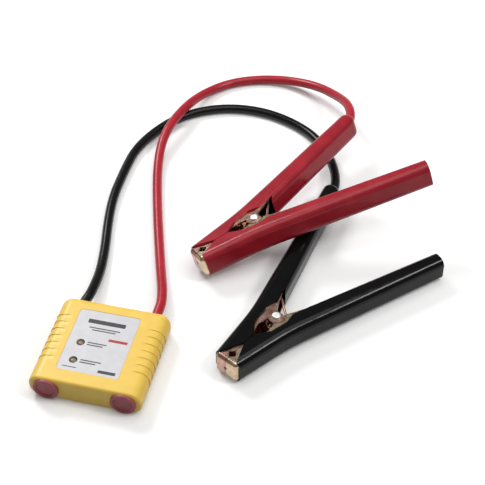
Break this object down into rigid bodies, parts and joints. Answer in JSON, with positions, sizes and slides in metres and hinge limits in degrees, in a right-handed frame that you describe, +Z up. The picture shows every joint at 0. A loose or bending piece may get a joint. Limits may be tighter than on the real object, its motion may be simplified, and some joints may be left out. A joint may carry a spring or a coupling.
{
  "type": "battery tester with clamp leads",
  "caption": "Palm-size flat tester case with indicator lights and grip sides, on a red and a black lead with sprung battery clamps whose free arms swing on rivets.",
  "frame": {"origin": "centre of the case's flat underside, on the surface that everything lies on", "axes": "+X to the right of the case with the lights facing up, +Y from the plugged end to the lead end, +Z up out of the label"},
  "size_m": [0.2369, 0.334, 0.0582],
  "materials": {
    "case_yellow": "satin moulded plastic",
    "label_silver": "silver-grey printed film",
    "led_clear": "smoky clear lens",
    "plug_red": "dull dark red",
    "vinyl_red": "glossy dipped vinyl",
    "vinyl_black": "glossy dipped vinyl",
    "lead_red": "smooth insulation",
    "lead_black": "smooth insulation",
    "copper_plate": "copper-plated pressed steel",
    "bright_steel": "bright zinc plate",
    "spring_steel": "drawn spring wire",
    "board_green": "solder mask",
    "part_black": "moulded epoxy",
    "part_blue": "dipped epoxy",
    "part_tan": "lacquer",
    "terminal_brass": "machined brass",
    "grommet_black": "moulded rubber"
  },
  "bodies": {
    "tester": {"case_bottom": "case_yellow", "case_top": "case_yellow", "label_plate": "label_silver", "upper_led": "led_clear", "lower_led": "led_clear", "circuit_board": "board_green", "suppressor_diodes": "part_black", "resistors": "part_tan", "capacitor": "part_black", "varistor": "part_blue", "case_screws": "bright_steel", "left_end_plug": "plug_red", "right_end_plug": "plug_red", "red_lead_grommet": "grommet_black", "red_core": "terminal_brass", "red_terminal": "terminal_brass", "red_lead_arm": "copper_plate", "red_rivet": "bright_steel", "red_bush": "bright_steel", "red_spring": "spring_steel", "red_lead_sleeve": "vinyl_red", "red_crimp": "bright_steel", "red_lead": "lead_red", "black_lead_grommet": "grommet_black", "black_core": "terminal_brass", "black_terminal": "terminal_brass", "black_lead_arm": "copper_plate", "black_rivet": "bright_steel", "black_bush": "bright_steel", "black_spring": "spring_steel", "black_lead_sleeve": "vinyl_black", "black_crimp": "bright_steel", "black_lead": "lead_black"},
    "red_jaw": {"red_free_arm": "copper_plate", "red_free_sleeve": "vinyl_red"},
    "black_jaw": {"black_free_arm": "copper_plate", "black_free_sleeve": "vinyl_black"}
  },
  "joints": [
    {"name": "red_clamp_pivot", "type": "hinge", "parent": "tester", "child": "red_jaw", "pos_m": [0.0702, 0.1191, 0.0193], "axis": [-0.2983, 0.0555, 0.9529], "range_deg": [0, 34], "stiffness_Nm_per_rad": 2.5, "springref_deg": -34.38, "deforming": ["red_spring"]},
    {"name": "black_clamp_pivot", "type": "hinge", "parent": "tester", "child": "black_jaw", "pos_m": [0.0991, 0.0472, 0.009], "axis": [0, 0, 1], "range_deg": [0, 34], "stiffness_Nm_per_rad": 2.5, "springref_deg": -34.38, "deforming": ["black_spring"]}
  ]
}
